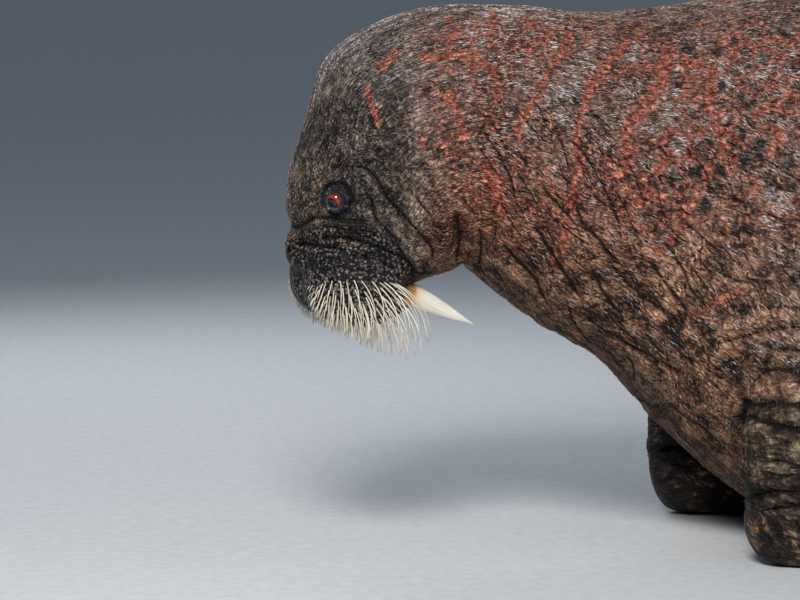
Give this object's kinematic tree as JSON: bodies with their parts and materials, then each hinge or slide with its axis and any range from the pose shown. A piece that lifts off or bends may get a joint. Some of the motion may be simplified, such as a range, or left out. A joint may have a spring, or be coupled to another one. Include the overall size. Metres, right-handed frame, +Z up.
{
  "type": "walrus",
  "caption": "Still, life-size adult female walrus lying on her belly with chest raised on the foreflippers and head bent down.",
  "frame": {"origin": "on the floor, on the flat that the belly rests on, in the plane of symmetry", "axes": "+X towards the tail, +Z up, -Y towards the animal's left side"},
  "size_m": [2.4277, 1.3666, 1.0186],
  "materials": {
    "hide": "wrinkled skin with short flat hair",
    "muzzle_hide": "dark creased bare skin",
    "whisker_hide": "dark pebbled skin with pale stiff whiskers",
    "flipper_hide": "dark rough bare skin",
    "ivory": "smooth worn ivory",
    "eyeball": "wet and glossy"
  },
  "bodies": {
    "root": {"head": "hide", "snout": "muzzle_hide", "lower_jaw": "muzzle_hide", "neck": "hide", "chest": "hide", "trunk": "hide", "rump": "hide", "tail": "hide", "whisker_pad_left": "whisker_hide", "whisker_pad_right": "whisker_hide", "tusk_left": "ivory", "tusk_right": "ivory", "eye_left": "eyeball", "eye_right": "eyeball", "foreflipper_arm_left": "hide", "foreflipper_arm_right": "hide", "foreflipper_hand_left": "flipper_hide", "foreflipper_hand_right": "flipper_hide", "hind_leg_left": "hide", "hind_leg_right": "hide", "hind_foot_left": "flipper_hide", "hind_foot_right": "flipper_hide"}
  },
  "joints": []
}
